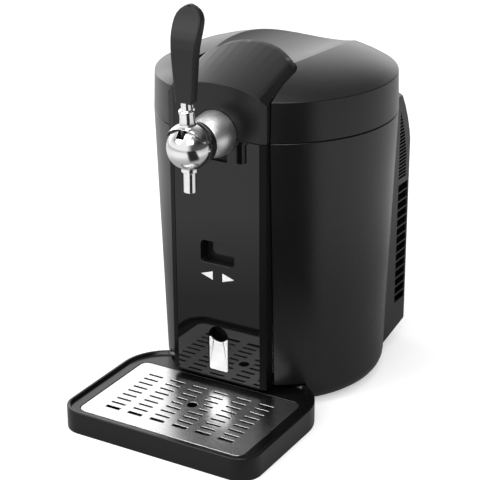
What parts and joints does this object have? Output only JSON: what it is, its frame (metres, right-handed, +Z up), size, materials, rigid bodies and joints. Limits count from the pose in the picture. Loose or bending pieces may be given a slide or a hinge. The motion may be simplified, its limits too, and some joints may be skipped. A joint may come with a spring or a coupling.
{
  "type": "mini keg beer dispenser",
  "caption": "Counter-top cooled dispenser for a mini keg: round insulated body, front column with lever tap, domed hinged lid over the keg well, and a pull-out drip tray with a slotted grille.",
  "frame": {"origin": "on the axis of the keg well at floor level, at the middle of the centre foot", "axes": "+Z up, -Y towards the tap and the drip tray, +X to the right of someone facing the tap"},
  "size_m": [0.267, 0.4105, 0.4557],
  "materials": {
    "satin_black": "satin",
    "casing_black": "satin",
    "gloss_black": "mirror gloss",
    "dark_plastic": "matt",
    "rubber": "matt",
    "white_ink": "matt",
    "chrome": "polished",
    "brushed": "brushed",
    "stainless": "satin",
    "steel_pin": "turned",
    "aluminium": "as drawn",
    "foam": "foam",
    "ceramic": "matt",
    "board_green": "satin",
    "brass": "machined",
    "liner_white": "satin"
  },
  "bodies": {
    "casing": {"base_pan": "dark_plastic", "rubber_feet": "rubber", "left_shell": "satin_black", "right_shell": "satin_black", "column_frame": "casing_black", "panel_backing": "dark_plastic", "tap_bracket": "steel_pin", "front_panel": "gloss_black", "display_bezel": "dark_plastic", "display_window": "gloss_black", "arrow_marks": "white_ink", "flap_pocket": "dark_plastic", "flap_pin": "steel_pin", "control_board": "board_green", "top_deck": "dark_plastic", "keg_well": "aluminium", "keg_mat": "rubber", "insulation": "foam", "cold_plate": "aluminium", "peltier_module": "ceramic", "heat_sink": "aluminium", "fan_frame": "dark_plastic", "power_board": "board_green", "power_inlet": "dark_plastic", "rear_housing": "casing_black", "hinge_bracket": "casing_black", "hinge_pin": "steel_pin", "tap_flange": "brushed", "tap_shank": "stainless", "shank_nut": "brass", "tap_body": "chrome", "tap_ring": "casing_black", "spout_ring": "chrome", "spout_tube": "chrome", "pivot_pin": "steel_pin"},
    "lid": {"lid_shell": "satin_black", "lid_hood": "casing_black", "lid_liner": "liner_white", "lid_foam": "foam", "lid_seal": "rubber"},
    "flap": {"front_flap": "chrome"},
    "fan": {"fan_rotor": "dark_plastic"},
    "lever": {"saddle_cap": "chrome", "lever_neck": "chrome", "lever_stem": "steel_pin", "tap_handle": "gloss_black"},
    "tray": {"drip_tray": "satin_black"},
    "grille": {"drip_grille": "stainless"}
  },
  "joints": [
    {"name": "lid_hinge", "type": "hinge", "parent": "casing", "child": "lid", "pos_m": [0, 0.1389, 0.3135], "axis": [-1, 0, 0], "range_deg": [0, 80]},
    {"name": "lever_pull", "type": "hinge", "parent": "casing", "child": "lever", "pos_m": [0, -0.178, 0.312], "axis": [1, 0, 0], "range_deg": [0, 35]},
    {"name": "tray_slide", "type": "slide", "parent": "casing", "child": "tray", "axis": [0, -1, 0], "range_m": [0, 0.15]},
    {"name": "grille_lift", "type": "slide", "parent": "tray", "child": "grille", "axis": [0, 0, 1], "range_m": [0, 0.005]},
    {"name": "flap_hinge", "type": "hinge", "parent": "casing", "child": "flap", "pos_m": [0, -0.1256, 0.0416], "axis": [1, 0, 0], "range_deg": [0, 70]},
    {"name": "fan_spin", "type": "hinge", "parent": "casing", "child": "fan", "pos_m": [0, 0.1283, 0.178], "axis": [0, 1, 0], "continuous": true}
  ]
}
